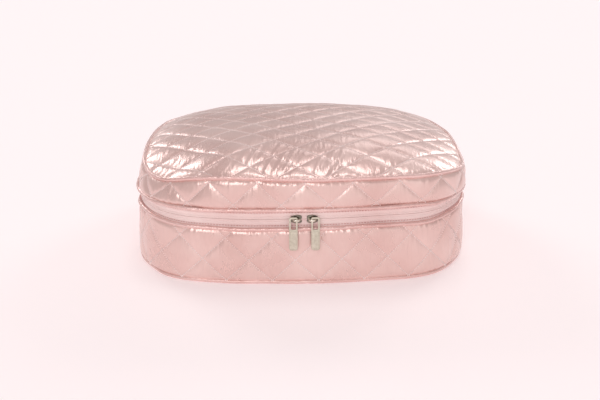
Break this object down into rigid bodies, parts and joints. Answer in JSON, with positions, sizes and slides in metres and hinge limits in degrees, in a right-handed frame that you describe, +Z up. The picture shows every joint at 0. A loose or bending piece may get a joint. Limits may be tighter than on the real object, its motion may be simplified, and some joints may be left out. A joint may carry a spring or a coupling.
{
  "type": "makeup bag",
  "caption": "Box-shaped quilted satin bag with a domed, padded lid on a fabric hinge, closed by a zip with two sliders that meet at the front.",
  "frame": {"origin": "the middle of the underside, on the surface that the bag stands on", "axes": "+Z up, +X along the width, front with the zip pulls towards -Y, lid hinge at +Y"},
  "size_m": [0.3, 0.2551, 0.1084],
  "materials": {
    "quilted_satin": "glossy quilted satin",
    "piping_satin": "glossy satin",
    "binding": "satin bias tape",
    "lining": "smooth plain weave",
    "wadding": "soft foam",
    "board": "matte board",
    "zip_tape": "woven polyester",
    "zip_coil": "nylon",
    "slider_metal": "polished nickel plate",
    "pull_metal": "satin nickel plate"
  },
  "bodies": {
    "bag_body": {"base_panel": "quilted_satin", "base_board": "board", "base_lining": "lining", "base_piping": "piping_satin", "base_seam_binding": "binding", "body_band": "quilted_satin", "body_foam": "wadding", "body_lining": "lining", "body_zip_piping": "piping_satin", "lower_zip_tape": "zip_tape", "lower_zip_coil": "zip_coil", "hinge_panel": "quilted_satin"},
    "lid": {"upper_zip_tape": "zip_tape", "upper_zip_coil": "zip_coil", "lid_zip_piping": "piping_satin", "lid_band": "quilted_satin", "lid_band_foam": "wadding", "lid_band_lining": "lining", "lid_seam_binding": "binding", "lid_top_piping": "piping_satin", "lid_top_panel": "quilted_satin", "lid_top_foam": "wadding", "lid_top_lining": "lining"},
    "left_slider": {"left_slider": "slider_metal", "left_slider_crown": "slider_metal"},
    "left_pull": {"left_pull": "pull_metal"},
    "right_slider": {"right_slider": "slider_metal", "right_slider_crown": "slider_metal"},
    "right_pull": {"right_pull": "pull_metal"}
  },
  "joints": [
    {"name": "lid_hinge", "type": "hinge", "parent": "bag_body", "child": "lid", "pos_m": [0, 0.126, 0.057], "axis": [-1, 0, 0], "range_deg": [0, 180], "deforming": ["hinge_panel"]},
    {"name": "left_slider_travel", "type": "hinge", "parent": "bag_body", "child": "left_slider", "pos_m": [0, 0.495, 0.057], "axis": [0, 0, -1], "range_deg": [0, 6.9]},
    {"name": "right_slider_travel", "type": "hinge", "parent": "bag_body", "child": "right_slider", "pos_m": [0, 0.495, 0.057], "axis": [0, 0, 1], "range_deg": [0, 6.9]},
    {"name": "left_pull_swing", "type": "hinge", "parent": "left_slider", "child": "left_pull", "pos_m": [-0.0088, -0.1245, 0.057], "axis": [0, 0.9781, -0.2079], "range_deg": [-12, 80]},
    {"name": "right_pull_swing", "type": "hinge", "parent": "right_slider", "child": "right_pull", "pos_m": [0.0088, -0.1245, 0.057], "axis": [0, -0.9781, 0.2079], "range_deg": [-12, 80]}
  ]
}
